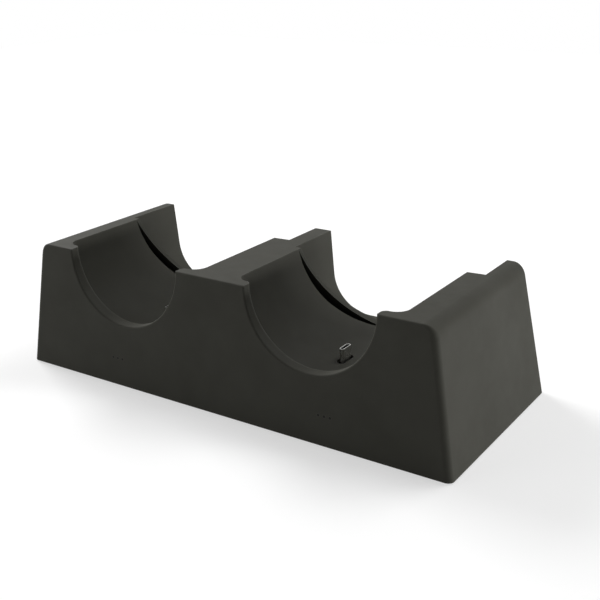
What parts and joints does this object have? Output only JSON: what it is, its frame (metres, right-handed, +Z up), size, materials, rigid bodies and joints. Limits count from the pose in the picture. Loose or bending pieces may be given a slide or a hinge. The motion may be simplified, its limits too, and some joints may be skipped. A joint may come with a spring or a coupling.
{
  "type": "controller charging dock",
  "caption": "Long tapered charging dock with round cradles for handheld virtual reality controllers, a small metal plug standing in the floor of each.",
  "frame": {"origin": "middle of the dock's outline on the surface that its feet stand on", "axes": "+X along the dock to the right as seen from the front, the front is towards -Y, +Z up"},
  "size_m": [0.268, 0.113, 0.0725],
  "materials": {
    "shell": "fine spark-eroded moulding grain, dark warm grey",
    "cover": "fine moulding grain, near black",
    "rubber": "matt moulded pads",
    "screw_steel": "black-zinc plated screws",
    "plug_metal": "drawn and nickel plated",
    "insulator": "black moulded insulator",
    "board": "green solder mask",
    "holder": "black moulding",
    "guide": "smoked clear moulding",
    "chip": "lamp chips, unlit"
  },
  "bodies": {
    "root": {"upper_shell": "shell", "base_plate": "cover", "rubber_feet": "rubber", "base_screws": "screw_steel", "main_board": "board", "main_board_screws": "screw_steel", "inlet_shell": "plug_metal", "inlet_tongue": "insulator", "left_plug_holder": "holder", "left_plug_shell": "plug_metal", "left_plug_insert": "insulator", "left_plug_board": "board", "left_light_guide": "guide", "left_light_board": "board", "left_light_chips": "chip", "right_plug_holder": "holder", "right_plug_shell": "plug_metal", "right_plug_insert": "insulator", "right_plug_board": "board", "right_light_guide": "guide", "right_light_board": "board", "right_light_chips": "chip"}
  },
  "joints": []
}
